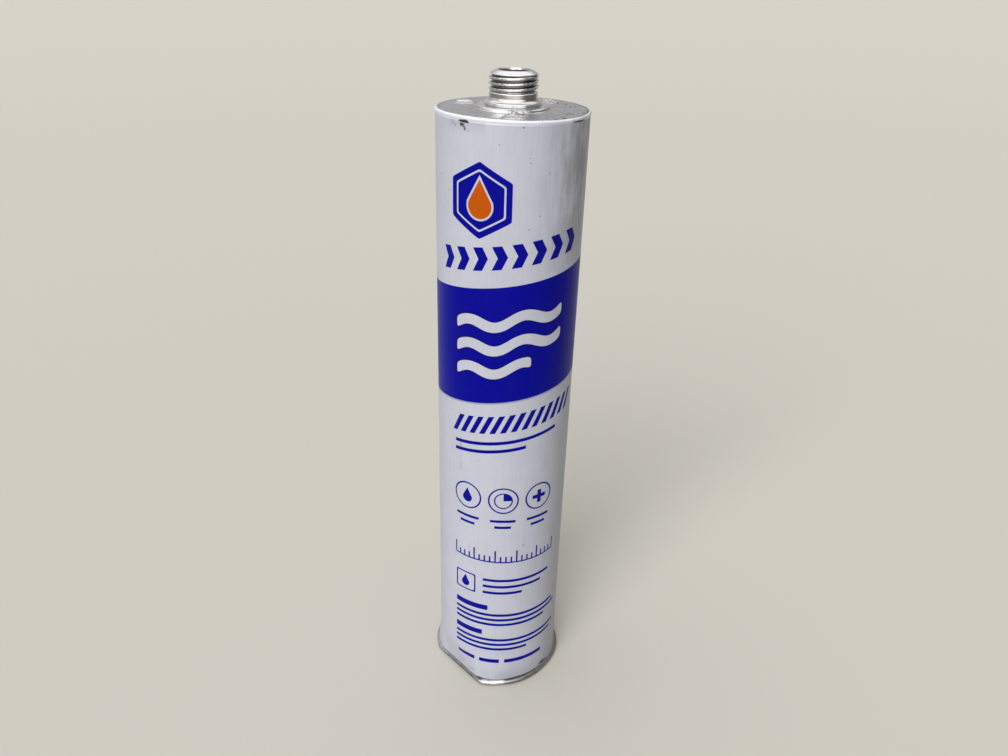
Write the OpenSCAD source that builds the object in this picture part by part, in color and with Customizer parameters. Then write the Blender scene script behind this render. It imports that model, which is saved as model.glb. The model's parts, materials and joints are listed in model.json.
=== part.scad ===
// Sealed aluminium sealant cartridge for a caulking gun.
// It stands on its rolled base rim. The origin is at the centre of the base, +Z runs up the tube,
// and the printed front faces -Y. All sizes are in millimetres.

/* [Wall] */
// Outside diameter of the painted wall
body_d = 47; // [44:0.5:56]
// Height from the surface it stands on to the top of the painted bead
body_h = 218; // [150:1:260]
// Height of the rounded bead round the top of the wall
bead_h = 1.2; // [0.9:0.1:2]
// How far the bead stands out past the wall
bead_out = 0.2; // [0.1:0.05:0.4]
// How far the bare shoulder lies below the top of the bead
shoulder_drop = 0.2; // [0.2:0.05:0.6]

/* [Base] */
// Height of the rolled rim
rim_h = 2.4; // [1.8:0.1:3.6]
// How far the rolled rim stands out past the wall
rim_out = 1.5; // [1:0.1:2.2]
// Width of the flat ring under the rim, which the cartridge stands on
foot_w = 2; // [1.2:0.1:3]
// Depth of the recess that holds the end disc
recess_depth = 5.5; // [4:0.5:12]
// Diameter of the flat panel in the middle of the end disc
panel_d = 32; // [24:1:36]
// How far the panel is pressed down from the disc's border
panel_step = 0.7; // [0.4:0.1:1.5]
// Width of the slope round the panel
panel_slope = 1.2; // [0.6:0.1:2]

/* [Dent in the base] */
// Direction the dent faces, in degrees from +X towards +Y
dent_azimuth = -138; // [-180:1:180]
// How far the rolled rim is pushed in at the middle of the dent
dent_depth = 2.5; // [1.6:0.1:3]
// How far the wall just above the rim is pushed in
wall_dent = 1.7; // [1:0.1:2.4]
// Height at which the wall is round again
dent_top = 17; // [10:1:40]
// Width of the slopes along the top and bottom edges of the flattened rim
dent_edge = 0.5; // [0.3:0.05:0.8]

/* [Shoulder] */
// Diameter of the raised boss round the neck
boss_d = 22.2; // [19:0.2:28]
// Height of the boss at its edge
boss_h = 0.9; // [0.8:0.1:2]
// Radius on the edge of the boss
boss_edge_r = 0.4; // [0.2:0.05:0.7]
// Diameter of each of the three shallow press marks
mark_d = 6; // [4:0.2:7]
// Depth of the press marks
mark_depth = 0.3; // [0.15:0.05:0.4]
// Distance of the press marks from the axis
mark_reach = 16.9; // [15.5:0.1:17.5]
// Direction of the first press mark, in degrees from +X towards +Y
mark_azimuth = -86; // [-180:1:180]

/* [Neck] */
// Height of the lip above the shoulder
neck_h = 10.7; // [9:0.1:16]
// Diameter of the foot, a low flange that stands on the boss
foot_d = 16.9; // [16:0.1:18.6]
// Height of the top of the foot above the shoulder
foot_h = 2.4; // [2.1:0.1:3]
// Width of the slope round the edge of the foot
foot_edge = 0.3; // [0.2:0.05:0.6]
// Diameter of the plain collar between the foot and the thread
collar_d = 14.7; // [14.3:0.1:15.2]
// Height of the top of the collar above the shoulder
collar_top = 4.6; // [4.3:0.1:5.6]
// Diameter of the lip
lip_d = 14.6; // [14:0.1:15]
// Radius of the round on the lip
lip_r = 0.75; // [0.5:0.05:0.9]
// Diameter of the mouth
mouth_d = 8.9; // [7:0.1:10]
// Width of the slope inside the mouth
mouth_slope = 0.8; // [0.4:0.1:1]
// Depth of the sealed membrane below the lip
membrane_depth = 1.6; // [1.2:0.1:3]
// How far the middle of the membrane dips
membrane_dip = 0.8; // [0.4:0.1:1.5]

/* [Thread] */
// Outside diameter of the neck thread
thread_d = 15; // [14.8:0.1:16]
// Height of the thread from groove to crest
thread_depth = 0.85; // [0.6:0.05:1]
// Pitch of the thread
thread_pitch = 1.53; // [1.4:0.01:2]
// Width of the thread's crest
thread_crest_w = 0.3; // [0.15:0.05:0.45]
// Width of the thread's ridge where it meets the core
thread_root_w = 1.25; // [0.9:0.05:1.35]
// Direction in which the lowest crest starts, in degrees from +X towards +Y
thread_azimuth = 20; // [-180:1:180]
// Share of a turn over which the thread runs out at each end
thread_run_out = 0.25; // [0.1:0.05:0.5]

/* [Hidden] */
$fn = 96;

body_r = body_d / 2;
bead_r = bead_h / 2;
bead_mid_r = body_r + bead_out - bead_r;
shoulder_z = body_h - shoulder_drop;

// The rolled rim is a half-round edge with a flat foot inside it
rim_r = body_r + rim_out;
rim_roll_r = rim_h / 2;
rim_mid_r = rim_r - rim_roll_r;
recess_r = rim_mid_r - foot_w;

// Distances from the axis, at the dent, of the rim, the recess behind it and the wall above it
dent_rim_x = rim_r - dent_depth;
dent_recess_x = recess_r - dent_depth;
dent_wall_x = body_r - wall_dent;
dent_lean = atan(wall_dent / (dent_top - rim_h));

lip_mid_r = lip_d / 2 - lip_r;

// The thread winds from the top of the collar to the middle of the lip
core_r = thread_d / 2 - thread_depth;
thread_turns = (neck_h - lip_r - collar_top) / thread_pitch;
// How deep the ridge's root is sunk in the core
root_sink = 0.15;
steps_per_turn = 36;

mark_ball_r = (pow(mark_d / 2, 2) + pow(mark_depth, 2)) / (2 * mark_depth);
// How far round each press mark lies from the first
mark_turns = [0, 136, 240];
big = 2 * body_d;
tiny = 0.01;
// How far one section runs on inside the next, so that they join
lap = 1;

// Half section of the wall, its bead and the shoulder
module wall_section() {
    square([body_r, body_h - bead_r]);
    square([bead_mid_r, shoulder_z]);
    translate([bead_mid_r, body_h - bead_r]) circle(bead_r);
}

// Half section of the rolled rim, from the axis out
module rim_section() {
    square([rim_mid_r, rim_h]);
    translate([rim_mid_r, rim_roll_r]) circle(rim_roll_r);
}

// Half section of the boss with its rounded edge, on a root sunk in the body
module boss_section() {
    boss_r = boss_d / 2;
    edge_z = boss_h - boss_edge_r;
    translate([0, -lap]) square([boss_r, edge_z + lap]);
    square([boss_r - boss_edge_r, boss_h]);
    translate([boss_r - boss_edge_r, edge_z]) circle(boss_edge_r);
}

// Half section of the neck: flanged foot, collar, thread core and rounded lip
module neck_section() {
    foot_r = foot_d / 2;
    collar_r = collar_d / 2;
    foot_rise = foot_edge / 2;
    collar_slope_top = collar_top + (collar_r - core_r) / 2;
    polygon([
        [0, -lap],
        [foot_r + foot_edge, -lap],
        [foot_r + foot_edge, boss_h],
        [foot_r, boss_h + foot_edge],
        [foot_r, foot_h - foot_edge],
        [foot_r - foot_edge, foot_h],
        [collar_r, foot_h + foot_rise],
        [collar_r, collar_top],
        [core_r, collar_slope_top],
        [0, collar_slope_top]
    ]);
    square([core_r, neck_h - lip_r]);
    square([lip_mid_r, neck_h]);
    translate([lip_mid_r, neck_h - lip_r]) circle(lip_r);
}

// Half section of what is open at the mouth, down to the membrane
module mouth_section() {
    mouth_r = mouth_d / 2;
    polygon([
        [0, neck_h - membrane_depth - membrane_dip],
        [mouth_r, neck_h - membrane_depth],
        [mouth_r, neck_h - mouth_slope],
        [mouth_r + mouth_slope, neck_h + tiny],
        [0, neck_h + tiny]
    ]);
}

// Half section of what is open under the base, up to the end disc
module recess_section() {
    polygon([
        [0, -tiny],
        [recess_r, -tiny],
        [recess_r, recess_depth],
        [panel_d / 2 + panel_slope, recess_depth],
        [panel_d / 2, recess_depth - panel_step],
        [0, recess_depth - panel_step]
    ]);
}

// How much of its full height the thread's ridge has at a point, given in turns from its start
function ridge_share(turn) =
    min(1, turn / thread_run_out, (thread_turns - turn) / thread_run_out);

// The four corners of the ridge's section at a point along it
function ridge_ring(turn) =
    let (
        angle = thread_azimuth + 360 * turn,
        z = collar_top + thread_pitch * turn,
        crest = core_r - root_sink / 2 + (thread_depth + root_sink / 2) * ridge_share(turn),
        root = core_r - root_sink
    )
    [
        for (p = [
            [root, -thread_root_w / 2],
            [crest, -thread_crest_w / 2],
            [crest, thread_crest_w / 2],
            [root, thread_root_w / 2]
        ])
        [p[0] * cos(angle), p[0] * sin(angle), z + p[1]]
    ];

// The thread: one right-handed ridge wound round the core, which runs out at both ends
module thread_ridge() {
    steps = ceil(steps_per_turn * thread_turns);
    corners = len(ridge_ring(0));
    points = [for (i = [0:steps]) each ridge_ring(thread_turns * i / steps)];
    sides = [
        for (i = [0:steps - 1], k = [0:corners - 1])
        let (
            a = i * corners + k,
            b = i * corners + (k + 1) % corners
        )
        each [[a, b, b + corners], [a, b + corners, a + corners]]
    ];
    start = [[for (k = [0:corners - 1]) corners - 1 - k]];
    end = [[for (k = [0:corners - 1]) steps * corners + k]];
    polyhedron(points = points, faces = concat(sides, start, end), convexity = 8);
}

// The threaded neck with its collar, foot and boss
module neck() {
    color("silver")
    translate([0, 0, shoulder_z]) {
        rotate_extrude() {
            boss_section();
            neck_section();
        }
        thread_ridge();
    }
}

// What the knock took from the rolled rim, which it left as a straight stretch with sloped edges
module rim_dent() {
    rotate([0, 0, dent_azimuth])
    translate([0, big / 2, 0])
    rotate([90, 0, 0])
    linear_extrude(big)
    polygon([
        [dent_rim_x - dent_edge - tiny, -tiny],
        [dent_rim_x, dent_edge],
        [dent_rim_x, rim_h - dent_edge],
        [dent_rim_x - dent_edge, rim_h],
        [big, rim_h],
        [big, -tiny]
    ]);
}

// What it took from the wall above, on a slope that fades out at dent_top
module wall_dent_cut() {
    slope = (dent_top - rim_h) / cos(dent_lean);
    rotate([0, 0, dent_azimuth])
    translate([dent_wall_x, 0, rim_h])
    rotate([0, dent_lean, 0])
    translate([0, -big / 2, -rim_h])
    cube([big, big, rim_h + slope + lap]);
}

// The open recess under the base, pushed in with the rim at the dent
module recess_cut() {
    difference() {
        rotate_extrude() recess_section();
        rotate([0, 0, dent_azimuth])
        translate([dent_recess_x, -big / 2, -lap])
        cube([big, big, recess_depth + 2 * lap]);
    }
}

// Three shallow round marks pressed into the shoulder
module shoulder_marks() {
    for (turn = mark_turns)
    rotate([0, 0, mark_azimuth + turn])
    translate([mark_reach, 0, shoulder_z])
    intersection() {
        translate([0, 0, mark_ball_r - mark_depth]) sphere(mark_ball_r);
        translate([0, 0, -mark_depth]) cylinder(h = mark_depth + tiny, d = 2 * mark_d);
    }
}

// The painted wall with its bead, flattened above the rim at the dent
module wall() {
    color("gainsboro")
    difference() {
        rotate_extrude() wall_section();
        wall_dent_cut();
    }
}

// The bare rolled rim, with its dent
module rolled_rim() {
    color("silver")
    difference() {
        rotate_extrude() rim_section();
        rim_dent();
    }
}

// The whole sealed pack, which is one solid
module cartridge() {
    difference() {
        union() {
            wall();
            rolled_rim();
            neck();
        }
        recess_cut();
        shoulder_marks();
        translate([0, 0, shoulder_z]) rotate_extrude() mouth_section();
    }
}

cartridge();
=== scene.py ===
import json
import math
from functools import reduce
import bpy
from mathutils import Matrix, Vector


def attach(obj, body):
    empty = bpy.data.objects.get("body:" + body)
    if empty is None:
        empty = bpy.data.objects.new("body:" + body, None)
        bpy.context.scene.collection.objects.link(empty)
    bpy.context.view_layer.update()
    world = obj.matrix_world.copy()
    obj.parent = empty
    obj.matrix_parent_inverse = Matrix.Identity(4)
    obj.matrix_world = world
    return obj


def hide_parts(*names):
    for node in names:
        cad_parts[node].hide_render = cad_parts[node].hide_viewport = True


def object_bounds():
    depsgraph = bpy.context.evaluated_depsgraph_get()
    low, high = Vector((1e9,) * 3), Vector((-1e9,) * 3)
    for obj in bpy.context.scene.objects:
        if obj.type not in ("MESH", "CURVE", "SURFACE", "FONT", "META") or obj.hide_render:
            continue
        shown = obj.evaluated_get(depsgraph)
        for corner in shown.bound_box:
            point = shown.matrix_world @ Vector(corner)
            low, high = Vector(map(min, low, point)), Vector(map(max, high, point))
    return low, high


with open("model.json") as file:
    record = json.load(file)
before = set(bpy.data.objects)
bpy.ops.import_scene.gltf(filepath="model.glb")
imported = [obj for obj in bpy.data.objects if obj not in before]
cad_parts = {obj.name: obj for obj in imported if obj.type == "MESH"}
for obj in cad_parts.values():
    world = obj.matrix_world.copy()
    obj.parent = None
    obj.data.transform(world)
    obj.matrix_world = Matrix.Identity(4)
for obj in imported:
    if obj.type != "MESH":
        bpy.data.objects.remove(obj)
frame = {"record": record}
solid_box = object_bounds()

from types import SimpleNamespace

import bmesh
import bpy
import numpy as np
from bpy.props import FloatProperty, FloatVectorProperty, PointerProperty
from mathutils import Matrix, Vector

bl_info = {
    "name": "Sealant Cartridge",
    "version": (1, 0, 0),
    "blender": (4, 5, 0),
    "location": "View3D > Sidebar > Cartridge",
    "description": "Builds and finishes a sealed aluminium sealant cartridge around its solid",
    "category": "Object",
}

# Sizes are worked out in millimetres, and meshes are made in metres.
# Angles round the cartridge go from +X towards +Y, and the printed front faces -Y.
MM = 0.001
NODE = "cartridge"
BODY = "root"
MOUNTS = {mount["name"]: mount for mount in frame["record"]["mounts"]}
WALL_R = MOUNTS["gun_cradle"]["dims"]["r_mm"]
RIM_R = solid_box[1].x / MM
LIP_TOP = solid_box[1].z / MM
BAKE_MAP = "OFBake"
# Longer stretches of a profile lie hidden inside the pieces, and take only this much of their bake map
HIDDEN_STEP = 5
# Edges that turn by more degrees than this stay sharp, and points closer in metres are welded
SHARP_EDGE = 38
WELD = 1e-8
# How far the lip stands above the bead, and how far the shoulder's hidden side lies below it
NECK_RISE = 10.5
SHOULDER_THICK = 0.3
# Directions of the three press marks from the first, in degrees
MARK_TURNS = (0, 140, 244)
# Soft swellings beside the knock: how far out, towards which direction in degrees, and how wide
RIM_SWELLS = ((0.5, 174, 24), (0.6, -100, 18), (0.3, -5, 30), (-0.35, -42, 34))
WALL_SWELLS = ((0.5, -92, 24), (0.5, -17, 30), (1.0, 178, 28))
# Height above the rim at which those of the wall end
SWELLS_END = 13
# Towards which direction the bead lifts, in degrees, and how wide
BEAD_LIFT = (-125, 80)


def length(name, description, millimetres):
    """A length for a property group, with its default in millimetres."""
    return FloatProperty(
        name=name,
        description=description,
        default=millimetres * MM,
        subtype="DISTANCE",
        unit="LENGTH",
        precision=5,
    )


def bearing(name, description, degrees):
    """An angle for a property group, with its default in degrees."""
    return FloatProperty(
        name=name,
        description=description,
        default=math.radians(degrees),
        subtype="ANGLE",
        unit="ROTATION",
    )


def share(name, description, value):
    """A share from 0 to 1 for a property group."""
    return FloatProperty(
        name=name, description=description, default=value, min=0, max=1, subtype="FACTOR"
    )


def colour(name, description, red, green, blue):
    """A colour for a property group, with its default as display values from 0 to 255."""
    return FloatVectorProperty(
        name=name,
        description=description,
        default=[linear(value / 255) for value in (red, green, blue)],
        min=0,
        max=1,
        size=3,
        subtype="COLOR",
    )


def linear(value):
    """The linear light of one display value from 0 to 1."""
    return value / 12.92 if value <= 0.04045 else ((value + 0.055) / 1.055) ** 2.4


def read(group):
    """The values of a property group by name, with its lengths in millimetres."""
    values = {}
    for entry in group.bl_rna.properties:
        if entry.identifier in ("rna_type", "name"):
            continue
        value = getattr(group, entry.identifier)
        values[entry.identifier] = value / MM if entry.unit == "LENGTH" else value
    return SimpleNamespace(**values)


class WallSizes(bpy.types.PropertyGroup):
    """Sizes of the painted wall and its bead."""

    radius: length("Wall radius", "Outside radius of the painted wall", WALL_R)
    top: length("Bead top", "Height of the top of the bead", LIP_TOP - NECK_RISE)
    bead_r: length("Bead radius", "Radius of the bead round the top of the wall", 0.6)
    bead_out: length("Bead overhang", "How far the bead stands out past the wall", 0.2)
    bead_lift: length("Bead lift", "How far the bead rises at the front left", 0.4)
    thickness: length("Thickness", "Thickness of the aluminium wall", 0.5)
    bottom: length("Wall bottom", "Height of the wall's lower end inside the rolled rim", 1.6)


class BaseSizes(bpy.types.PropertyGroup):
    """Sizes of the rolled rim, the end disc and the knock that dented them."""

    rim_r: length("Rim radius", "Outside radius of the rolled rim", RIM_R)
    rim_h: length("Rim height", "Height of the rolled rim", 2.4)
    foot_w: length("Foot width", "Width of the flat ring under the rim", 2)
    recess: length("Recess depth", "Depth of the recess that holds the end disc", 5.5)
    panel_r: length("Panel radius", "Radius of the flat panel in the end disc", 16)
    panel_step: length("Panel step", "How far the panel is pressed down", 0.7)
    panel_slope: length("Panel slope", "Width of the slope round the panel", 1.2)
    dent_at: bearing("Dent direction", "Direction that the dented side faces", -136)
    dent_rim: length("Dented rim", "Distance of the flattened rim from the axis", 21.9)
    dent_wall: length("Dented wall", "Distance of the flattened wall from the axis", 21.3)
    dent_top: length("Dent top", "Height at which the wall is round again", 17)
    dent_round: length("Dent rounding", "How softly the flattened side meets the round one", 0.22)


class NeckSizes(bpy.types.PropertyGroup):
    """Sizes of the bare shoulder and the threaded neck, with heights above the shoulder."""

    shoulder_drop: length("Shoulder drop", "How far the shoulder lies below the bead", 0.1)
    boss_r: length("Boss radius", "Radius of the raised boss round the neck", 11.15)
    boss_h: length("Boss height", "Height of the boss at its edge", 1.0)
    foot_r: length("Foot radius", "Radius of the foot that rises from the boss", 8.45)
    foot_h: length("Foot height", "Height of the foot's edge", 2.1)
    collar_r: length("Collar radius", "Radius of the plain collar under the thread", 7.35)
    collar_low: length("Collar bottom", "Height at which the collar starts to flare", 3.3)
    collar_top: length("Collar top", "Height of the collar's upper edge", 4.85)
    core_r: length("Core radius", "Radius in the grooves of the thread", 6.65)
    crest_r: length("Crest radius", "Radius on the crests of the thread", 7.5)
    pitch: length("Pitch", "Pitch of the right-handed thread", 1.53)
    crest_w: length("Crest width", "Width of the thread's crest", 0.5)
    root_w: length("Root width", "Width of the thread's ridge at its root", 1.25)
    thread_at: bearing("Thread start", "Direction in which the lowest crest starts", 20)
    lip_r: length("Lip radius", "Outside radius of the lip", 7.14)
    lip_drop: length("Lip drop", "How far the lip's outer edge lies below its top", 1.15)
    lip_top: length("Lip top", "Height of the lip", 10.95)
    mouth_r: length("Mouth radius", "Radius of the mouth", 4.45)
    mouth_slope: length("Mouth slope", "Width of the slope inside the mouth", 0.6)
    membrane: length("Membrane depth", "Depth of the membrane's edge below the lip", 1.6)
    membrane_dip: length("Membrane dip", "How far the middle of the membrane dips", 0.8)
    mark_r: length("Press mark radius", "Radius of each press mark in the shoulder", 2.9)
    mark_deep: length("Press mark depth", "Depth of each press mark", 0.25)
    mark_ridge: length("Press mark ridge", "Height of the ridge round each press mark", 0.42)
    mark_out: length("Press mark reach", "Distance of the press marks from the axis", 16.9)
    mark_at: bearing("Press mark start", "Direction of the first press mark", -90)


class Finish(bpy.types.PropertyGroup):
    """Colours of the lacquer, the inks, the bare metal, and the dark tone used both for soil and for
    painted shade.
    """

    white: colour("Lacquer", "White lacquer on the wall", 205, 207, 219)
    # The bead's paler colour is partly a painted highlight of the light that the bead catches
    bead: colour("Bead lacquer", "Thicker and cleaner lacquer on the bead", 240, 243, 254)
    blue: colour("Blue ink", "Ink of the band and the marks", 7, 8, 150)
    edging: colour("Edging ink", "Darker ink round the white waves", 8, 8, 62)
    orange: colour("Orange ink", "Ink of the drop", 202, 90, 6)
    metal: colour("Aluminium", "Clean bare aluminium", 218, 217, 216)
    dull: colour("Dull aluminium", "Dull, handled aluminium", 180, 179, 181)
    # Brownish and darker than the bare metal: a painted reflection of a wooden wall
    collar_reflection_tint: colour("Stained aluminium", "Brownish collar under the thread", 150, 141, 128)
    # Also used for painted shade in creases, grooves, the mouth, under the rim and on the wall's darker
    # side
    dirt_and_shade: colour("Dirt", "Dirt and scuffed metal", 46, 45, 50)
    gloss: share("Lacquer roughness", "Roughness of the lacquer", 0.34)


class StageSettings(bpy.types.PropertyGroup):
    """The floor, the lamps and the camera."""

    floor: colour("Floor", "Pale floor", 205, 201, 191)
    camera_back: length("Camera distance", "Distance of the camera in front of the axis", 252.7)
    camera_up: length("Camera height", "Height of the camera above the floor", 258.1)
    camera_tilt: bearing("Camera tilt", "How far the camera looks down", 27.62)
    camera_turn: bearing("Camera turn", "How far the camera looks to the right", -0.07)
    camera_roll: bearing("Camera roll", "How far the camera leans to the left", 1.69)
    lens: length("Lens", "Focal length for a sensor 36 mm wide", 28.73)


def arc(centre, radius, start, end, steps):
    """Points on an arc in the profile, by angles in degrees from outward towards up."""
    angles = np.radians(np.linspace(start, end, steps + 1))
    return [
        (centre[0] + radius * math.cos(angle), centre[1] + radius * math.sin(angle))
        for angle in angles
    ]


def line(start, end, step):
    """Points from start up to but without end, no further apart than step."""
    count = math.ceil(math.dist(start, end) / step)
    return [
        (
            start[0] + (end[0] - start[0]) * i / count,
            start[1] + (end[1] - start[1]) * i / count,
        )
        for i in range(count)
    ]


def smooth(value):
    """A share from 0 to 1 with soft ends."""
    value = np.clip(value, 0, 1)
    return value * value * (3 - 2 * value)


def swell(angle, at, width):
    """1 in the direction at, in degrees, and softly 0 past width to either side."""
    away = np.abs((np.degrees(angle) - at + 180) % 360 - 180)
    return smooth(1 - away / width)


def softer_of(first, second, blend):
    """The smaller of two radii, with a soft corner where they meet."""
    return -blend * np.log(np.exp(-first / blend) + np.exp(-second / blend))


def turned_faces(segments, count, along, reach):
    """Faces between the turned copies of a profile of count points, and their corners in the map."""
    faces = []
    map_points = []
    for i in range(segments):
        after = (i + 1) % segments
        left, right = i / segments, (i + 1) / segments
        for j in along:
            k = (j + 1) % count
            low, high = reach[j], reach[j + 1]
            faces.append((i * count + j, after * count + j, after * count + k, i * count + k))
            map_points += [(left, low), (right, low), (right, high), (left, high)]
    return faces, map_points


def turned(name, profile, segments, shape, material, closed):
    """A mesh piece turned round Z from a profile of (radius, height) points in millimetres.

    shape moves the points and returns their new radii and heights. A closed profile ends where it
    starts, and any other starts and ends on the axis.
    """
    profile = np.array(profile)
    count = len(profile)
    angle = np.arange(segments)[:, None] * 2 * math.pi / segments * np.ones(count)
    radius, height = shape(angle, *[np.broadcast_to(part, angle.shape) for part in profile.T])
    points = np.stack([radius * np.cos(angle), radius * np.sin(angle), height], 2) * MM
    along = np.arange(count if closed else count - 1)
    steps = np.minimum(np.hypot(*(np.roll(profile, -1, 0) - profile).T), HIDDEN_STEP)
    reach = np.concatenate([[0], np.cumsum(steps[along])])
    faces, map_points = turned_faces(segments, count, along, reach / reach[-1])
    mesh = bpy.data.meshes.new(name)
    mesh.from_pydata(points.reshape(-1, 3).tolist(), [], faces)
    bake_map = mesh.uv_layers.new(name=BAKE_MAP)
    bake_map.data.foreach_set("uv", np.array(map_points, np.float32).ravel())
    work = bmesh.new()
    work.from_mesh(mesh)
    bmesh.ops.remove_doubles(work, verts=work.verts, dist=WELD)
    bmesh.ops.recalc_face_normals(work, faces=work.faces)
    work.to_mesh(mesh)
    work.free()
    mesh.shade_smooth()
    mesh.set_sharp_from_angle(angle=math.radians(SHARP_EDGE))
    mesh.materials.append(material)
    piece = bpy.data.objects.new(name, mesh)
    bpy.context.scene.collection.objects.link(piece)
    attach(piece, BODY)
    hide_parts(NODE)
    return piece


def swollen(angle, swells):
    """How far out several swellings push in each direction."""
    return sum(out * swell(angle, at, width) for out, at, width in swells)


def flat_radius(angle, reach, base):
    """Radius of the flat that the knock left at reach from the axis, kept finite round the back."""
    least_cosine = 0.3
    return reach / np.maximum(np.cos(angle - base.dent_at), least_cosine)


def rim_radius(angle, base):
    """Outside radius of the rolled rim: knocked flat on one side and swollen beside the knock."""
    round_r = base.rim_r + swollen(angle, RIM_SWELLS)
    return softer_of(round_r, flat_radius(angle, base.dent_rim, base), base.dent_round)


def rim_shape(base):
    """Moves points of the rim and the end disc as the knock did, and less towards the axis."""

    def shape(angle, radius, height):
        inner = base.rim_r - base.rim_h / 2 - base.foot_w
        part = smooth((radius - base.panel_r) / (inner - base.panel_r))
        return radius + (rim_radius(angle, base) - base.rim_r) * part, height

    return shape


def wall_shape(wall, base):
    """Moves points of the wall as the knock did, fading out upwards, and lifts the bead."""
    lift_from = wall.top - 3
    lift_over = 2.4

    def shape(angle, radius, height):
        flat = flat_radius(angle, base.dent_wall, base)
        pushed = softer_of(wall.radius, flat, base.dent_round) - wall.radius
        above_rim = height - base.rim_h
        fade = 1 - smooth(above_rim / (base.dent_top - base.rim_h)) ** 0.8
        out = swollen(angle, WALL_SWELLS) * (1 - smooth(above_rim / SWELLS_END))
        lift = wall.bead_lift * swell(angle, *BEAD_LIFT) * smooth((height - lift_from) / lift_over)
        return radius + pushed * fade + out, height + lift

    return shape


def wall_profile(wall, neck):
    """Closed profile of the wall: up the outside, over the bead and down the inside."""
    centre = (wall.radius + wall.bead_out - wall.bead_r, wall.top - wall.bead_r)
    meets = math.degrees(math.acos((wall.radius - centre[0]) / wall.bead_r))
    floor = wall.top - neck.shoulder_drop - SHOULDER_THICK
    inner = centre[0] - wall.bead_r
    inside = wall.radius - wall.thickness
    # The steps are short up to here, where the dent is
    fine_to = 20
    low_part = line((wall.radius, wall.bottom), (wall.radius, fine_to), 0.5)
    high_part = line((wall.radius, fine_to), (wall.radius, centre[1] - 0.45), 4)
    over = arc(centre, wall.bead_r, -meets, 200, 18)
    under = [(inner + 0.05, floor), (inside - 0.6, floor - 0.6), (inside, floor - 1.2)]
    return low_part + high_part + over + under + [(inside, fine_to), (inside, wall.bottom)]


def rim_profile(base):
    """Closed profile of the rolled rim: the flat foot, the half-round edge and the hidden fold."""
    roll = base.rim_h / 2
    middle = base.rim_r - roll
    foot = middle - base.foot_w
    bottom = line((foot + 0.35, 0), (middle, 0), 0.4)
    edge = arc((middle, roll), roll, -90, 90, 24)
    return bottom + edge + [(middle - 1, base.rim_h), (foot + 0.35, base.rim_h)]


def disc_profile(base):
    """Profile of the end disc from the axis below to the axis above, with its fold at the foot."""
    foot = base.rim_r - base.rim_h / 2 - base.foot_w
    panel_z = base.recess - base.panel_step
    slope_end = (base.panel_r + base.panel_slope, base.recess)
    corner = 0.8
    under = line((0, panel_z), (base.panel_r, panel_z), 1)
    slope = line((base.panel_r, panel_z), slope_end, 0.3)
    border = line(slope_end, (foot - corner, base.recess), 0.6)
    bend = arc((foot - corner, base.recess - corner), corner, 90, 0, 8)
    fold = line((foot, base.recess - corner), (foot, 0.3), 0.5)
    hem = arc((foot + 0.3, 0.3), 0.3, 180, 270, 6)
    back = [(foot + 0.7, 0), (foot + 0.7, base.recess + 0.4), (0, base.recess + 0.4)]
    return under + slope + border + bend + fold + hem + back


def neck_profile(wall, neck):
    """Profile of the bare head from its hidden edge over the neck to the middle of the membrane."""
    z = wall.top - neck.shoulder_drop
    edge = wall.radius + wall.bead_out - 1.4 * wall.bead_r
    start = [(0, z - SHOULDER_THICK), (edge, z - SHOULDER_THICK)]

    hollow, turn = 0.45, 0.5
    boss_top = z + neck.boss_h
    shoulder = line((edge, z), (neck.boss_r + hollow, z), 0.25)
    boss = arc((neck.boss_r + hollow, z + hollow), hollow, 270, 180, 6)
    boss += arc((neck.boss_r - turn, boss_top - turn), turn, 0, 86, 10)

    flange = z + neck.foot_h
    crease = (neck.foot_r + 0.22, boss_top + 0.03)
    deck = line((neck.boss_r - turn, boss_top), crease, 0.3)
    foot = curve(
        [
            crease,
            (neck.foot_r + 0.04, boss_top + 0.12),
            (neck.foot_r, boss_top + 0.4),
            (neck.foot_r, flange - 0.18),
            (neck.foot_r - 0.06, flange - 0.03),
            (neck.foot_r - 0.25, flange + 0.06),
            (neck.foot_r - 0.55, flange + 0.2),
            (neck.foot_r - 0.82, flange + 0.43),
            (neck.collar_r + 0.1, flange + 0.75),
            (neck.collar_r, z + neck.collar_low),
        ],
        44,
    )

    collar_round = 0.36
    collar_high = z + neck.collar_top - collar_round
    collar = line((neck.collar_r, z + neck.collar_low), (neck.collar_r, collar_high), 0.1)
    collar += arc((neck.collar_r - collar_round, collar_high), collar_round, 0, 80, 8)

    lip_z = z + neck.lip_top
    lip_edge = lip_z - neck.lip_drop
    core_low = (neck.core_r, z + neck.collar_top + 0.12)
    core_high = (neck.core_r, lip_edge - 0.3)
    thread = line(core_low, core_high, 0.055)
    lip = curve(
        [
            core_high,
            (neck.lip_r - 0.15, lip_edge - 0.08),
            (neck.lip_r, lip_edge + 0.08),
            (neck.lip_r - 0.1, lip_edge + 0.25),
            (neck.lip_r - 0.7, lip_z - neck.lip_drop * 0.5),
            (neck.lip_r - 1.4, lip_z - neck.lip_drop * 0.17),
            (neck.mouth_r + neck.mouth_slope, lip_z),
        ],
        40,
    )

    mouth_low = lip_z - neck.mouth_slope
    mouth = arc((neck.mouth_r + neck.mouth_slope, mouth_low), neck.mouth_slope, 90, 180, 10)
    skin = lip_z - neck.membrane
    throat = line((neck.mouth_r, mouth_low), (neck.mouth_r, skin), 0.2)
    bowl = [
        (neck.mouth_r * (1 - t), skin - neck.membrane_dip * (1 - (1 - t) ** 2))
        for t in np.linspace(0, 1, 14)
    ]
    outside = start + shoulder + boss + deck + foot + collar + thread + lip
    return outside + mouth[:-1] + throat + bowl


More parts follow.
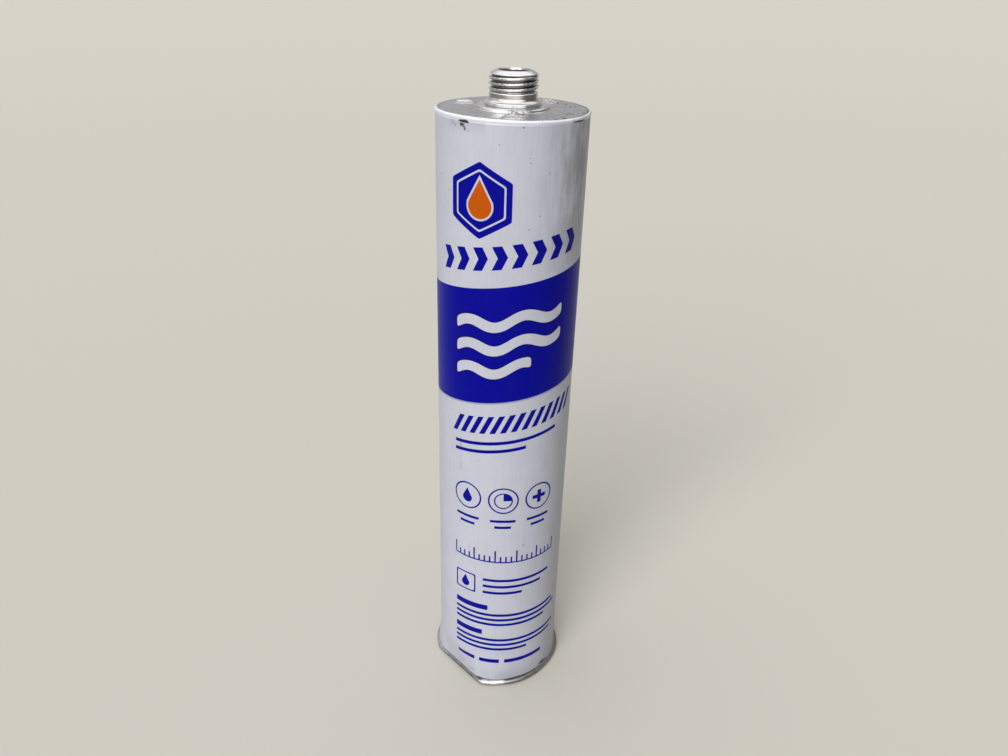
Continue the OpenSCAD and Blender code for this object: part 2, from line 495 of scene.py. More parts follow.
def curve(points, steps):
    """Points on a smooth curve through the given ones, without the last."""
    points = np.array(points)
    at = np.concatenate([[0], np.cumsum(np.hypot(*np.diff(points, axis=0).T))])
    found = []
    for t in np.linspace(0, at[-1], steps, endpoint=False):
        i = min(np.searchsorted(at, t, side="right") - 1, len(points) - 2)
        before = points[max(i - 1, 0)]
        after = points[min(i + 2, len(points) - 1)]
        here, there = points[i], points[i + 1]
        u = (t - at[i]) / (at[i + 1] - at[i])
        found.append(
            tuple(
                0.5
                * (
                    2 * here
                    + (there - before) * u
                    + (2 * before - 5 * here + 4 * there - after) * u**2
                    + (3 * here - before - 3 * there + after) * u**3
                )
            )
        )
    return found


def thread_rise(neck, angle, above_collar):
    """How far the right-handed ridge stands out from the core, with soft ends."""
    run_out = 0.25
    turns = (neck.lip_top - neck.lip_drop - neck.collar_top) / neck.pitch
    round_share = (angle - neck.thread_at) / (2 * math.pi) % 1
    near = above_collar / neck.pitch - round_share
    turn = np.round(near)
    from_crest = np.abs(near - turn) * neck.pitch
    slope = (neck.root_w / 2 - from_crest) / (neck.root_w / 2 - neck.crest_w / 2)
    path = turn + round_share
    ends = np.clip(np.minimum(path, turns - path) / run_out, 0, 1)
    return (neck.crest_r - neck.core_r) * smooth(slope) * ends


def mark_places(neck):
    """The direction of each press mark and the place of its middle."""
    places = []
    for turned_by in MARK_TURNS:
        at = neck.mark_at + math.radians(turned_by)
        places.append((at, neck.mark_out * math.cos(at), neck.mark_out * math.sin(at)))
    return places


def mark_sink(neck, angle, radius):
    """How far the press marks sink the shoulder, with a low ridge round each."""
    ridge_w = 0.42
    sunk = np.zeros_like(radius)
    for at, x, y in mark_places(neck):
        away = np.hypot(radius * np.cos(angle) - x, radius * np.sin(angle) - y)
        # The floor of a mark leans outwards, and most where it lies in front
        lean = 0.12 - 0.14 * min(math.sin(at), 0)
        deep = neck.mark_deep + (radius - neck.mark_out) * lean
        sunk += deep * smooth(1 - (away / neck.mark_r) ** 2)
        sunk -= neck.mark_ridge * np.exp(-(((away - neck.mark_r) / ridge_w) ** 2))
    return sunk


def neck_shape(wall, neck):
    """Raises the thread's ridge from the core and sinks the press marks in the shoulder."""
    shoulder = wall.top - neck.shoulder_drop

    def shape(angle, radius, height):
        rise = thread_rise(neck, angle, height - shoulder - neck.collar_top)
        on_core = np.isclose(radius, neck.core_r)
        on_shoulder = np.isclose(height, shoulder)
        return radius + rise * on_core, height - mark_sink(neck, angle, radius) * on_shoulder

    return shape


class Wire:
    """One socket in a node tree. Arithmetic on it adds Math nodes to the tree."""

    def __init__(self, tree, socket=None):
        self.tree = tree
        self.socket = socket

    def node(self, kind, sockets=(), output=0, **settings):
        """Adds a node: first its settings, then the values or links of its sockets."""
        made = self.tree.nodes.new(kind)
        for name, value in settings.items():
            setattr(made, name, value)
        for key, value in dict(sockets).items():
            if isinstance(value, Wire):
                self.tree.links.new(value.socket, made.inputs[key])
            else:
                made.inputs[key].default_value = value
        return Wire(self.tree, made.outputs[output])

    def math(self, operation, *values, **settings):
        """A Math node on the given values."""
        return self.node("ShaderNodeMath", enumerate(values), operation=operation, **settings)

    def __add__(self, other):
        return self.math("ADD", self, other)

    __radd__ = __add__

    def __sub__(self, other):
        return self.math("SUBTRACT", self, other)

    def __rsub__(self, other):
        return self.math("SUBTRACT", other, self)

    def __mul__(self, other):
        return self.math("MULTIPLY", self, other)

    __rmul__ = __mul__

    def __truediv__(self, other):
        return self.math("DIVIDE", self, other)

    def __pow__(self, other):
        return self.math("POWER", self, other)

    def __abs__(self):
        return self.math("ABSOLUTE", self)

    def least(self, other):
        """The smaller of two values."""
        return self.math("MINIMUM", self, other)

    def most(self, other, corner=0.0):
        """The larger of two values, with a rounded corner of that size between them."""
        if corner:
            return self.math("SMOOTH_MAX", self, other, corner)
        return self.math("MAXIMUM", self, other)

    def over(self, limit):
        """1 above the limit and 0 below it."""
        return self.math("GREATER_THAN", self, limit)

    def repeat(self, pitch):
        """The distance to the nearest of the points that lie one pitch apart, with one at 0."""
        return self.math("PINGPONG", self, pitch / 2)

    def ease(self, low, high, out_low=0.0, out_high=1.0):
        """A soft step from out_low to out_high as the value goes from low to high."""
        return self.node(
            "ShaderNodeMapRange",
            {"Value": self, "From Min": low, "From Max": high, "To Min": out_low, "To Max": out_high},
            interpolation_type="SMOOTHSTEP",
        )

    def inside(self, edge=0.08):
        """1 where a signed distance is below zero, with a narrow soft edge."""
        return self.math("MULTIPLY_ADD", self, -1 / edge, 0.5, use_clamp=True)

    def mix(self, first, second):
        """The first colour where this is 0 and the second where it is 1."""
        return self.node(
            "ShaderNodeMix", {0: self, 6: first, 7: second}, output=2, data_type="RGBA"
        )

    def stretch(self, x, y, z):
        """A vector with each part multiplied."""
        return self.node("ShaderNodeVectorMath", {0: self, 1: (x, y, z)}, operation="MULTIPLY")

    def parts(self):
        """The three parts of a vector."""
        split = self.node("ShaderNodeSeparateXYZ", {0: self}).socket.node
        return [Wire(self.tree, socket) for socket in split.outputs]

    def noise(self, scale, detail=3.0, roughness=0.5):
        """Noise from about 0.3 to 0.7 at this place, scale to a millimetre."""
        return self.node(
            "ShaderNodeTexNoise",
            {"Vector": self, "Scale": scale, "Detail": detail, "Roughness": roughness},
        )

    def bump(self, depth, below=None):
        """A normal that raises the surface by depth millimetres where this is 1."""
        sockets = {"Height": self, "Distance": depth * MM, "Strength": 1.0}
        if below:
            sockets["Normal"] = below
        return self.node("ShaderNodeBump", sockets)


class Surface:
    """A material with wires for the place on the cartridge, in millimetres."""

    def __init__(self, name, **constants):
        self.material = bpy.data.materials.new(name)
        self.material.use_nodes = True
        tree = self.material.node_tree
        self.shader = tree.nodes["Principled BSDF"]
        for key, value in constants.items():
            self.shader.inputs[key.replace("_", " ")].default_value = value
        start = Wire(tree).node("ShaderNodeTexCoord", output="Object")
        self.place = start.stretch(1 / MM, 1 / MM, 1 / MM)
        self.x, self.y, self.z = self.place.parts()
        self.front = self.x.math("ARCTAN2", self.x, self.y * -1)
        self.across = self.front * WALL_R
        self.out = (self.x * self.x + self.y * self.y) ** 0.5

    def wound(self, out, up, round_it):
        """A place for patterns that run round the cartridge, with each direction multiplied."""
        return self.x.node(
            "ShaderNodeCombineXYZ", {0: self.out * out, 1: self.z * up, 2: self.front * round_it}
        )

    def feed(self, **wires):
        """Links wires to the shader's sockets."""
        for key, wire in wires.items():
            socket = self.shader.inputs[key.replace("_", " ")]
            self.material.node_tree.links.new(wire.socket, socket)
        return self.material


def most_of(masks):
    """The strongest of several masks at each place."""
    return reduce(Wire.most, masks)


def least_of(distances):
    """The signed distance to the nearest of several shapes."""
    return reduce(Wire.least, distances)


def opaque(values):
    """A colour from a property group as a socket's four values."""
    return (*values, 1.0)


def rectangle(s, z, middle, size, corner=0.0):
    """Signed distance to a rectangle on the wall, by its middle and its width and height."""
    return (abs(s - middle[0]) - size[0] / 2).most(abs(z - middle[1]) - size[1] / 2, corner)


def disc(s, z, middle, radius):
    """Signed distance to a disc on the wall."""
    across, up = s - middle[0], z - middle[1]
    return (across * across + up * up) ** 0.5 - radius


def drop(s, z, middle, radius, tip):
    """Signed distance to a drop that points up, with its tip that far above its middle."""
    across, up = abs(s - middle[0]), z - middle[1]
    lean = math.asin(radius / tip)
    cone = (across * math.cos(lean) + up * math.sin(lean) - radius).most(
        radius * math.sin(lean) - up
    )
    return disc(s, z, middle, radius).least(cone)


def hexagon(s, z, middle, radius):
    """Signed distance to a hexagon with upright sides, by its inner radius."""
    across, up = s - middle[0], z - middle[1]
    lean = abs(across * 0.5 + up * 0.866)
    back = abs(across * 0.5 - up * 0.866)
    return abs(across).most(lean, 0.8).most(back, 0.8) - radius


def wave(s, z, start, end, middle, rise, period, stroke):
    """Signed distance to a wavy line from start to end."""
    turn = (s - start) * (2 * math.pi / period)
    steep = turn.math("COSINE", turn) * (rise * 2 * math.pi / period)
    off = abs(z - middle - turn.math("SINE", turn) * rise) / (steep * steep + 1) ** 0.5
    ends = abs(s - (start + end) / 2) - (end - start) / 2
    return (off - stroke / 2).most(ends, stroke / 2)


def chevrons(s, z, start, middle, height, pitch, stroke, count):
    """Signed distance to a row of chevrons that point right."""
    up = abs(z - middle)
    along = s + up * 0.5 - start
    reach = count * pitch - (pitch - stroke)
    return repeated_strokes(along, reach, pitch, stroke).most(up - height / 2)


def hatch(s, z, left, right, middle, height, pitch, stroke):
    """Signed distance to a row of bars that lean right, between left and right."""
    up = z - middle
    along = s - up * 0.5 - left
    return repeated_strokes(along, right - left, pitch, stroke).most(abs(up) - height / 2)


def repeated_strokes(along, reach, pitch, stroke):
    """Signed distance to strokes one pitch apart, from 0 to reach."""
    within = (along - stroke / 2).repeat(pitch) - stroke / 2
    return within.most(abs(along - reach / 2) - reach / 2)


def rules(s, z, lines):
    """Signed distance to level bars, each by its left and right ends, its middle and its height."""
    return least_of(
        rectangle(s, z, ((left + right) / 2, middle), (right - left, height))
        for left, right, middle, height in lines
    )


def badge(s, z, middle, radius):
    """Masks of a hexagon badge: its ink, with an inset line and a gap round the drop, and the drop."""
    line_inset, line_half, gap = 2.1, 0.28, 0.6
    edge = hexagon(s, z, middle, radius)
    inner = drop(s, z, (middle[0], middle[1] - radius * 0.16), radius * 0.38, radius * 0.8)
    inset = abs(edge + line_inset) - line_half
    return edge.inside() * (1 - inset.inside()) * (1 - (inner - gap).inside()), inner.inside()


def slanted_print(s, z):
    """Mask of the marks that follow the band: chevrons above it, leaning bars and rules below it."""
    row = chevrons(s, z, -21.5, 178.7, 7.4, 6.1, 3.1, 8)
    bars = hatch(s, z, -17.5, 27.5, 120.6, 6.6, 3.6, 2.0)
    lines = rules(s, z, [(-17.9, 20, 113.4, 1.3), (-17.9, 8, 110.2, 1.3)])
    return least_of([row, bars, lines]).inside()


def ringed_signs(s, z):
    """Signed distance to a drop, a quarter disc and a plus, each in a ring with two rules below it."""
    row, ring_r, first, pitch = 89.5, 5.2, -12.6, 13.4
    left, centre, right = [first + i * pitch for i in range(3)]
    pie = disc(s, z, (centre, row), 3.1)
    marks = [
        drop(s, z, (left, row - 0.9), 1.9, 4.1),
        abs(pie) - 0.25,
        pie.most(centre - s).most(row - z),
        rectangle(s, z, (right, row), (5.4, 1.6), 0.3),
        rectangle(s, z, (right, row), (1.6, 5.4), 0.3),
    ]
    for middle in (left, centre, right):
        below = [(middle - 4.6, middle + 4.6, 80.6, 1.1), (middle - 3, middle + 3, 77.9, 1.1)]
        marks += [abs(disc(s, z, (middle, row), ring_r)) - 0.3, rules(s, z, below)]
    return least_of(marks)


def graduated_scale(s, z):
    """Signed distance to a line with a short tick at each step and a long one at every fourth."""
    left, right, low, step, stroke = -17.6, 22.4, 62.0, 2.0, 0.6
    ends = abs(s - (left + right) / 2) - (right - left) / 2 - stroke / 2
    marks = [rules(s, z, [(left, right, low, stroke)])]
    for pitch, high in ((step, 2.6), (4 * step, 5.2)):
        tick = (s - left).repeat(pitch) - stroke / 2
        marks.append(tick.most(abs(z - low - high / 2) - high / 2).most(ends))
    return least_of(marks)


def boxed_drop(s, z):
    """Signed distance to a small drop in a rounded box."""
    across, up, side, stroke = -13.2, 50.2, 8.6, 0.6
    box_line = abs(rectangle(s, z, (across, up), (side, side), 1.2) + stroke / 2) - stroke / 2
    return box_line.least(drop(s, z, (across, up - 0.8), 1.7, 3.7))


def level_print(s, z):
    """Mask of the marks on the lower half: ringed signs, a scale, a boxed drop and plain rules."""
    lines = [
        # left end, right end, middle, height
        (-6, 21, 53.2, 1.2),
        (-6, 17, 50.2, 1.2),
        (-6, 9, 47.2, 1.2),
        (-17.5, -4, 39.6, 2.4),
        (-17.5, 25, 36.1, 1.2),
        (-17.5, 27, 33.7, 1.2),
        (-17.5, 20, 31.3, 1.2),
        (-17.5, -6, 26.8, 2.4),
        (-17.5, 27, 23.3, 1.2),
        (-17.5, 25, 20.9, 1.2),
        (-17.5, 12, 18.5, 1.2),
        (-17, -9, 12.2, 1.8),
        (-7, 1, 12.2, 1.8),
        (3, 19.5, 12.2, 1.8),
    ]
    marks = [ringed_signs(s, z), graduated_scale(s, z), boxed_drop(s, z), rules(s, z, lines)]
    return least_of(marks).inside()


def chips_and_crease_shadow(s, z, ragged):
    """Mask of the chips and scuffs that show dark metal through the lacquer, and of one painted shadow
    line along a small crease.
    """
    chips = [
        # across, up, half width, half height, raggedness, depth
        (-14.7, 216.9, 2.0, 0.42, 0.9, 1.0),
        (-15.1, 216.0, 0.9, 0.6, 1.4, 0.85),
        (-14.4, 215.0, 0.4, 0.6, 1.2, 0.8),
        (-17.9, 215.5, 0.22, 0.28, 0.7, 0.6),
        (-18.8, 216.0, 0.3, 0.2, 0.9, 0.5),
        (-13.0, 214.5, 0.3, 0.2, 0.9, 0.5),
        (22.3, 216.95, 2.9, 0.27, 0.5, 1.0),
        (3.1, 216.4, 0.25, 0.3, 0.6, 0.6),
        (21.4, 3.5, 2.6, 0.5, 0.8, 1.0),
        # Not a chip: a painted shadow line along a small crease just above the knocked rim
        (-11.0, 4.6, 2.3, 0.3, 0.4, 0.4),
    ]
    pricks = [(5.6, 206.6), (9.1, 191.1), (5.8, 187.1), (-3.5, 211.5), (11.5, 203.3)]
    worn_and_shadow = []
    for at, up, wide, high, rough, deep in chips:
        away = (((s - at) / wide) ** 2 + ((z - up) / high) ** 2) ** 0.5
        worn_and_shadow.append((away - 1 + (ragged - 0.5) * rough * 2).inside(0.35) * deep)
    for middle in pricks:
        worn_and_shadow.append(disc(s, z, middle, 0.22).inside(0.12) * 0.5)
    return most_of(worn_and_shadow)


def soiled_and_shaded(surface, s, z):
    """Mask of soft darkening: streaked blotches at the top right, partly smudges and partly painted
    shade of that side, a faint streak, a darker mottle towards the bottom, specks, a mottle.
    """
    side = s.ease(7, 22) * (1 - s.ease(48, 68)) * z.ease(160, 196)
    cloud = surface.place.stretch(1, 1, 0.45).noise(0.2, 5.0, 0.65).ease(0.38, 0.62)
    streaks = surface.place.stretch(1, 1, 0.08).noise(0.9, 4.0, 0.6).ease(0.4, 0.66)
    # The streaked blotches here are partly smudges and partly painted shade on the darker right-hand
    # side
    upper = (cloud * 0.75 + streaks * 0.45) * side
    blotch = surface.place.stretch(1, 1, 0.4).noise(0.5, 3.0, 0.6).ease(0.45, 0.65)
    streak = (1 - abs(s + 15.6).ease(0.2, 1.6)) * z.ease(96, 104) * (1 - z.ease(118, 130)) * blotch
    low = (1 - z.ease(3, 12)) * surface.place.noise(0.12, 3.0).ease(0.3, 0.7)
    specks = surface.place.noise(0.7, 1.0).ease(0.76, 0.8)
    fine = surface.place.noise(2.6, 2.0).ease(0.7, 0.76) * side
    mottle = surface.place.noise(0.09, 3.0).ease(0.35, 0.7) * 0.04 + streaks * 0.035
    return most_of([upper * 0.3, streak * 0.16, low * 0.16, specks * 0.4, fine * 0.5]) + mottle


def lacquer_material(finish, wall):
    """White lacquer with a slanted blue band, printed marks, chips, specks and soft smudges, with
    painted shade at the rim, along a crease and in part of the smudges, and a painted highlight on the
    bead.
    """
    surface = Surface("printed_lacquer", IOR=1.5, Specular_IOR_Level=0.06, Coat_Roughness=0.25)
    s, z = surface.across, surface.z
    # The band rises to the right in front and runs level round the back
    turn = surface.front / math.pi
    slant = 0.15
    level = z - s * (1 - turn ** 2 * turn ** 2) * slant

    all_round, band_z, band_h = 200, 149.2, 40.2
    waves = least_of(
        wave(s, level, -17.2, right, middle, 1.5, 18.3, 3.5)
        for middle, right in ((157.6, 19.4), (149.4, 19.4), (141.2, 8.4))
    )
    band = rectangle(s, level, (0, band_z), (all_round, band_h)).inside(0.1) * (1 - waves.inside())
    edging = (waves - 0.35).inside(0.3) * band
    fringe_z = band_z - band_h / 2 - 0.25
    fringe = rectangle(s, level, (0, fringe_z), (all_round, 0.6)).inside(0.1)
    badge_ink, badge_drop = badge(s, z, (-9.2, 195.0), 9.9)
    blue = most_of([fringe * 0.4, band, badge_ink, slanted_print(s, level), level_print(s, z)])

    on_bead = z.ease(wall.top - 1.4, wall.top - 1.0)
    # The bead's paler lacquer is partly a painted highlight
    colour_now = on_bead.mix(opaque(finish.white), opaque(finish.bead))
    colour_now = blue.mix(colour_now, opaque(finish.blue))
    colour_now = badge_drop.mix(colour_now, opaque(finish.orange))
    colour_now = (edging * 0.7).mix(colour_now, opaque(finish.edging))

    ragged = surface.place.noise(1.6, 4.0, 0.65)
    worn_and_shadow = chips_and_crease_shadow(s, z, ragged)
    # Painted shadow in the crease where the wall meets the rolled rim
    rim_crease_shade = (1 - z.ease(2.35, 2.75)) * 0.75
    colour_now = soiled_and_shaded(surface, s, z).mix(colour_now, opaque(finish.dirt_and_shade))
    colour_now = worn_and_shadow.most(rim_crease_shade).mix(colour_now, opaque(finish.dirt_and_shade))

    # The lacquer stops on the crest of the bead, which is bare on its inner side
    paint_edge = wall.radius + wall.bead_out - wall.bead_r - 0.1
    bare = ((surface.out - paint_edge) + (ragged - 0.5) * 0.3).inside(0.1) * z.over(wall.top - 2)
    colour_now = bare.mix(colour_now, opaque(finish.dull))

    rough = surface.place.stretch(1, 1, 0.3).noise(0.5, 3.0) * 0.1 + (finish.gloss - 0.05)
    ripple = surface.place.stretch(1, 1, 0.04).noise(0.22, 2.0)
    peel = surface.place.noise(1.3, 2.0)
    normal = ripple.bump(0.12)
    normal = peel.bump(0.004, normal)
    normal = (1 - worn_and_shadow).bump(0.05, normal)
    return surface.feed(
        Base_Color=colour_now,
        Metallic=bare,
        Coat_Weight=on_bead,
        Roughness=rough + worn_and_shadow * 0.2,
        Normal=normal,
    )


def head_material(finish, neck, wall):
    """Bare aluminium: dull and mottled on the shoulder, cleaner with turning lines on the neck."""
    surface = Surface("bare_head", Metallic=1.0)
    place, x, y, out, front = surface.place, surface.x, surface.y, surface.out, surface.front
    up = surface.z - (wall.top - neck.shoulder_drop)
    on_shoulder = out.ease(neck.boss_r - 0.3, neck.boss_r + 0.4)
    cloud = place.noise(0.35, 4.0, 0.6)
    scuffed = place.noise(1.1, 3.0, 0.6).ease(0.42, 0.6)

    # Paler, smoother metal on the far side of each press mark's ring and in a patch in front: partly
    # polish, and partly painted glints where those places catch the light
    rings = []
    pressed = []
    for _, mark_x, mark_y in mark_places(neck):
        off = disc(x, y, (mark_x, mark_y), neck.mark_r)
        far_side = y.ease(mark_y - 2.4, mark_y - 0.6, 0.4, 1)
        rings.append((1 - abs(off).ease(0.3, 0.8)) * far_side)
        pressed.append(1 - off.ease(0.2, 1.2))
    rubbed_and_highlit = (1 - abs(front + 0.1).ease(0.22, 0.5)) * (1 - out.ease(18.5, 21))
    polished_and_glinting = most_of(rings).most(rubbed_and_highlit)
    handled = on_shoulder * (1 - polished_and_glinting * 0.9)

    # Marks on the shoulder: soil specks at the right, painted shade in the corner under the bead, soil
    # blotches, a scuffed boss
    coarse = place.stretch(0.8, 0.3, 1).noise(1.1, 2.0).ease(0.58, 0.63) * out.ease(15, 19)
    specks = place.noise(2.2, 2.0).ease(0.64, 0.72).most(coarse) * on_shoulder * x.ease(2, 14)
    # Painted shade in the corner where the shoulder meets the bead, darker towards the right
    bead_corner_shade = out.ease(wall.radius - 1.5, wall.radius - 0.9) * x.ease(-14, 8, 0.3, 0.8)
    blotches = place.noise(0.8, 4.0, 0.65).ease(0.38, 0.66) * on_shoulder * (1 - polished_and_glinting * 0.8)
    boss_edge = 1 - abs(out - neck.boss_r + 0.2).ease(0.3, 0.9)
    boss_edge = boss_edge * front.ease(-0.35, 0.05) * (1 - front.ease(0.4, 0.8))
    boss_edge = boss_edge * scuffed.ease(0, 1, 0.35, 0.75)

    # Darkening on the neck: soil and painted shade in the thread's grooves, painted shade in the crease
    # round the foot and inside the mouth
    in_thread = up.ease(neck.collar_top, neck.collar_top + 0.4)
    in_thread = in_thread * (1 - up.over(neck.lip_top - neck.lip_drop - 0.1))
    # Partly soil and partly painted shade deep in the thread's grooves
    groove_dirt_and_shade = (1 - out.ease(neck.core_r + 0.1, neck.crest_r - 0.2)) * in_thread
    # Painted shade in the crease between the foot and the boss
    corner = 1 - abs(out - neck.foot_r - 0.12).ease(0.05, 0.3)
    corner = corner * (1 - abs(up - neck.boss_h - 0.05).ease(0.1, 0.4))
    # Painted shade inside the mouth, left out of a strip down its middle
    mouth = (1 - out.over(neck.mouth_r + 0.3)) * up.over(neck.collar_top)
    mouth = mouth * abs(x - 0.6).ease(1.3, 1.9)
    collar = out.over(neck.collar_r - 0.05) * up.over(neck.foot_h + 0.5)
    collar = collar * (1 - up.ease(neck.collar_top - 0.38, neck.collar_top - 0.28))

    # Duller towards the left on the shoulder, and paler where the glints are painted
    dullness = handled * x.ease(-24, 4, 0.95, 0.75) + cloud.ease(0.35, 0.75) * 0.25
    colour_now = dullness.mix(opaque(finish.metal), opaque(finish.dull))
    grime_and_shade = [specks * 0.75, bead_corner_shade, blotches * 0.3, boss_edge, groove_dirt_and_shade * 0.8, corner * 0.7, mouth * 0.6]
    colour_now = most_of(grime_and_shade).mix(colour_now, opaque(finish.dirt_and_shade))
    # Painted reflection: the collar is tinted brownish and darker, as if it mirrored a wooden wall
    colour_now = (collar * 0.6).mix(colour_now, opaque(finish.collar_reflection_tint))

    rough = handled * 0.2 + cloud * 0.14 + 0.1 - polished_and_glinting * 0.05
    normal = surface.wound(9, 9, 0.6).noise(1.0, 3.0, 0.7).bump(0.012)
    normal = (place.noise(3.0, 3.0, 0.6) * on_shoulder).bump(0.03, normal)
    normal = cloud.bump(0.12, normal)
    normal = (scuffed * most_of(pressed) * x.ease(0, 2)).bump(0.35, normal)
    return surface.feed(Base_Color=colour_now, Roughness=rough, Normal=normal)


def base_material(finish):
    """Bare aluminium of the rim and the end disc: scratched, with painted shade where the rim meets the
    wall and under the rim, darker towards the right and on the knocked side, and paler in front, partly
    polished and partly a painted highlight.
    """
    surface = Surface("bare_base", Metallic=1.0)
    front, z = surface.front, surface.z
    on_rim = surface.out.over(20)
    cloud = surface.place.noise(0.5, 4.0, 0.6)
    scratch = surface.wound(3, 6, 3).noise(1.0, 4.0, 0.7)
    # Less soil in front: partly polish, partly a painted highlight
    rubbed_and_highlit = 1 - abs(front + 0.05).ease(0.12, 0.22)
    left = 1 - front.ease(-1.3, -0.95)
    knocked = (1 - front.ease(-0.42, -0.24)) * (1 - left)
    right = front.ease(-0.05, 0.3) * (1 - front.ease(0.5, 1.1) * 0.5)
    # Painted shade where the rim meets the wall, and on the lower part of the rim
    wall_crease_shade = z.ease(1.75, 2.25) * on_rim * (1 - left * 0.45)
    under_rim_shade = (1 - z.ease(0.7, 1.35)) * on_rim

    colour_now = cloud.ease(0.4, 0.7).mix(opaque(finish.metal), opaque(finish.dull))
    grime_and_shade = scratch.ease(0.4, 0.75, 0.3, 0.62) + (right * 0.34).most(knocked * 0.28) * on_rim
    grime_and_shade = grime_and_shade.most(wall_crease_shade * 0.85) * (1 - rubbed_and_highlit * 0.92)
    colour_now = grime_and_shade.most(under_rim_shade * 0.5).mix(colour_now, opaque(finish.dirt_and_shade))
    rough = cloud * 0.2 + 0.2
    return surface.feed(Base_Color=colour_now, Roughness=rough, Normal=scratch.bump(0.03))


def sizes_of(scene):
    """The wall's, the base's and the neck's sizes."""
    return read(scene.cartridge_wall), read(scene.cartridge_base), read(scene.cartridge_neck)


class CARTRIDGE_OT_wall(bpy.types.Operator):
    """Builds the painted wall with its bead and its dent"""

    bl_idname = "cartridge.wall"
    bl_label = "Painted wall"

    def execute(self, context):
        wall, base, neck = sizes_of(context.scene)
        material = lacquer_material(read(context.scene.cartridge_finish), wall)
        turned("painted_wall", wall_profile(wall, neck), 288, wall_shape(wall, base), material, True)
        return {"FINISHED"}


class CARTRIDGE_OT_head(bpy.types.Operator):
    """Builds the bare shoulder with the threaded neck and the membrane"""

    bl_idname = "cartridge.head"
    bl_label = "Bare head"

    def execute(self, context):
        wall, _, neck = sizes_of(context.scene)
        material = head_material(read(context.scene.cartridge_finish), neck, wall)
        turned("bare_head", neck_profile(wall, neck), 256, neck_shape(wall, neck), material, False)
        return {"FINISHED"}


class CARTRIDGE_OT_base(bpy.types.Operator):
    """Builds the rolled rim and the end disc folded into it"""

    bl_idname = "cartridge.base"
    bl_label = "Rolled rim and end disc"

    def execute(self, context):
        _, base, _ = sizes_of(context.scene)
        material = base_material(read(context.scene.cartridge_finish))
        turned("rolled_rim", rim_profile(base), 288, rim_shape(base), material, True)
        turned("end_disc", disc_profile(base), 192, rim_shape(base), material, False)
        return {"FINISHED"}


class CARTRIDGE_OT_stage(bpy.types.Operator):
    """Sets out the floor, the lamps, the world and the camera"""

    bl_idname = "cartridge.stage"
    bl_label = "Stage"

    def execute(self, context):
        stage = read(context.scene.cartridge_stage)
        make_floor(stage)
        make_lamps()
        make_world(context.scene, stage)
        make_camera(context.scene, stage)
        context.scene.view_settings.view_transform = "Standard"
        return {"FINISHED"}


def seen(tree):
    """Wires that are 1 for what the camera sees and for what shiny surfaces show."""
    path = Wire(tree).node("ShaderNodeLightPath").socket.node
    return [Wire(tree, path.outputs[name]) for name in ("Is Camera Ray", "Is Glossy Ray")]


def make_floor(stage):
    """A plain pale floor, far wider than the view. Metal shows it dim beside it and bright in front."""
    half = 60.0
    share_given_back = 0.68
    dim_left, dim_right = (0.26, 0.25, 0.25, 1), (0.1, 0.1, 0.1, 1)
    dark, bright = (0, 0, 0, 1), (0.8, 0.8, 0.81, 1)
    mesh = bpy.data.meshes.new("floor")
    corners = [(-half, -half, 0), (half, -half, 0), (half, half, 0), (-half, half, 0)]
    mesh.from_pydata(corners, [], [(0, 1, 2, 3)])
    floor = bpy.data.objects.new("floor", mesh)
    bpy.context.scene.collection.objects.link(floor)
    surface = bpy.data.materials.new("pale_floor")
    surface.use_nodes = True
    tree = surface.node_tree
    shader = tree.nodes["Principled BSDF"]
    by_camera, by_metal = seen(tree)
    x, y, _ = Wire(tree).node("ShaderNodeTexCoord", output="Object").parts()
    given_back = [value * share_given_back for value in stage.floor]
    tone = by_camera.most(by_metal).mix(opaque(given_back), opaque(stage.floor))
    beside = (abs(x) - abs(y) * 0.7).ease(0.2, 0.6) * by_metal
    tone = beside.mix(tone, x.over(0).mix(dim_left, dim_right))
    # Metal sees the floor glow in front: a light source for its reflections only
    ahead = (y * -1 - abs(x) * 1.2).ease(0.25, 0.6) * by_metal
    glow = ahead.mix(dark, bright)
    tree.links.new(tone.socket, shader.inputs["Base Color"])
    tree.links.new(glow.socket, shader.inputs["Emission Color"])
    shader.inputs["Emission Strength"].default_value = 1
    shader.inputs["Roughness"].default_value = 0.8
    mesh.materials.append(surface)


def make_lamps():
    """Two distant soft lamps, which metal doesn't mirror: one front left and one overhead."""
    lamps = [
        # name, where it shines from, strength, angle across it in degrees
        ("key_lamp", (-0.4, -0.92, 0.66), 2.55, 38),
        ("top_lamp", (-0.08, 0.12, 1), 1.65, 60),
    ]
    for name, place, strength, width in lamps:
        lamp = bpy.data.lights.new(name, "SUN")
        lamp.energy = strength
        lamp.angle = math.radians(width)
        holder = bpy.data.objects.new(name, lamp)
        holder.rotation_euler = Vector(place).to_track_quat("Z", "Y").to_euler()
        holder.visible_glossy = False
        bpy.context.scene.collection.objects.link(holder)


def make_world(scene, stage):
    """A dim room with the floor's colour behind. Metal shows a pale window, ceiling and side in it."""
    left_side, right_side = (1.05, 1.04, 1.03, 1), (0.11, 0.11, 0.115, 1)
    right_high = (0.42, 0.42, 0.42, 1)
    far_left, far_right = (0.57, 0.56, 0.56, 1), (0.42, 0.41, 0.41, 1)
    ceiling, window = (1.35, 1.35, 1.38, 1), (2.3, 2.3, 2.34, 1)
    fill = (0.03, 0.03, 0.033, 1)
    scene.world = bpy.data.worlds.new("room")
    scene.world.use_nodes = True
    tree = scene.world.node_tree
    right, back, up = Wire(tree).node("ShaderNodeTexCoord", output="Generated").parts()
    tone = (right * -1).ease(0.0, 0.6).mix(right_side, left_side)
    tone = (right.ease(0.0, 0.5) * up.ease(0.08, 0.4)).mix(tone, right_high)
    tone = back.ease(0.3, 0.8).mix(tone, right.ease(-0.12, 0.12).mix(far_left, far_right))
    tone = up.ease(0.35, 0.75).mix(tone, ceiling)
    tone = (right * -0.17 + back * -0.985).ease(0.38, 0.58).mix(tone, window)
    by_camera, by_metal = seen(tree)
    tone = by_metal.mix(fill, tone)
    tone = by_camera.mix(tone, opaque(stage.floor))
    tree.links.new(tone.socket, tree.nodes["Background"].inputs["Color"])


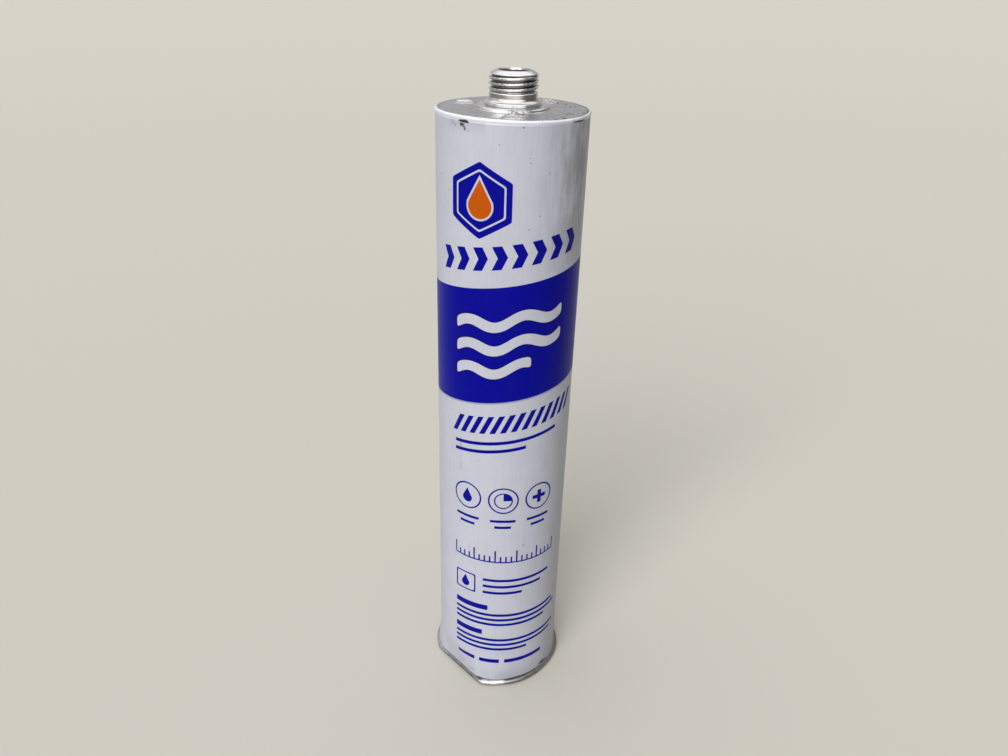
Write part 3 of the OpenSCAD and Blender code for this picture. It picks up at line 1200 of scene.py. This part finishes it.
def make_camera(scene, stage):
    """A camera in front and above, which looks down at the printed front."""
    camera = bpy.data.cameras.new("camera")
    camera.sensor_width = 36
    camera.lens = stage.lens
    holder = bpy.data.objects.new("camera", camera)
    tilt, turn, roll = stage.camera_tilt, stage.camera_turn, stage.camera_roll
    level = math.cos(tilt)
    ahead = Vector((math.sin(turn) * level, math.cos(turn) * level, -math.sin(tilt)))
    right = ahead.cross(Vector((0, 0, 1))).normalized()
    up = right.cross(ahead)
    rolled = right * math.cos(roll) + up * math.sin(roll)
    upright = up * math.cos(roll) - right * math.sin(roll)
    place = Matrix.Translation((0, -stage.camera_back * MM, stage.camera_up * MM))
    holder.matrix_world = place @ Matrix((rolled, upright, -ahead)).transposed().to_4x4()
    scene.collection.objects.link(holder)
    scene.camera = holder


class CARTRIDGE_PT_panel(bpy.types.Panel):
    """Lists the sizes, the finish and the buttons that build the pieces"""

    bl_idname = "CARTRIDGE_PT_panel"
    bl_label = "Sealant cartridge"
    bl_space_type = "VIEW_3D"
    bl_region_type = "UI"
    bl_category = "Cartridge"

    def draw(self, context):
        for group in GROUPS:
            box = self.layout.box()
            settings = getattr(context.scene, group)
            for entry in settings.bl_rna.properties:
                if entry.identifier not in ("rna_type", "name"):
                    box.prop(settings, entry.identifier)
        for operator in OPERATORS:
            self.layout.operator(operator.bl_idname)


GROUPS = {
    "cartridge_wall": WallSizes,
    "cartridge_base": BaseSizes,
    "cartridge_neck": NeckSizes,
    "cartridge_finish": Finish,
    "cartridge_stage": StageSettings,
}
OPERATORS = (CARTRIDGE_OT_wall, CARTRIDGE_OT_head, CARTRIDGE_OT_base, CARTRIDGE_OT_stage)


def register():
    """Adds the sizes, the finish, the buttons and the panel to Blender."""
    for name, group in GROUPS.items():
        bpy.utils.register_class(group)
        setattr(bpy.types.Scene, name, PointerProperty(type=group))
    for made in (*OPERATORS, CARTRIDGE_PT_panel):
        bpy.utils.register_class(made)


def unregister():
    """Takes them away again."""
    for made in (CARTRIDGE_PT_panel, *reversed(OPERATORS)):
        bpy.utils.unregister_class(made)
    for name, group in reversed(GROUPS.items()):
        delattr(bpy.types.Scene, name)
        bpy.utils.unregister_class(group)


def main():
    """Builds the pieces and the stage."""
    register()
    bpy.ops.cartridge.stage()
    bpy.ops.cartridge.wall()
    bpy.ops.cartridge.head()
    bpy.ops.cartridge.base()
    bpy.context.view_layer.update()


if __name__ == "__main__":
    main()
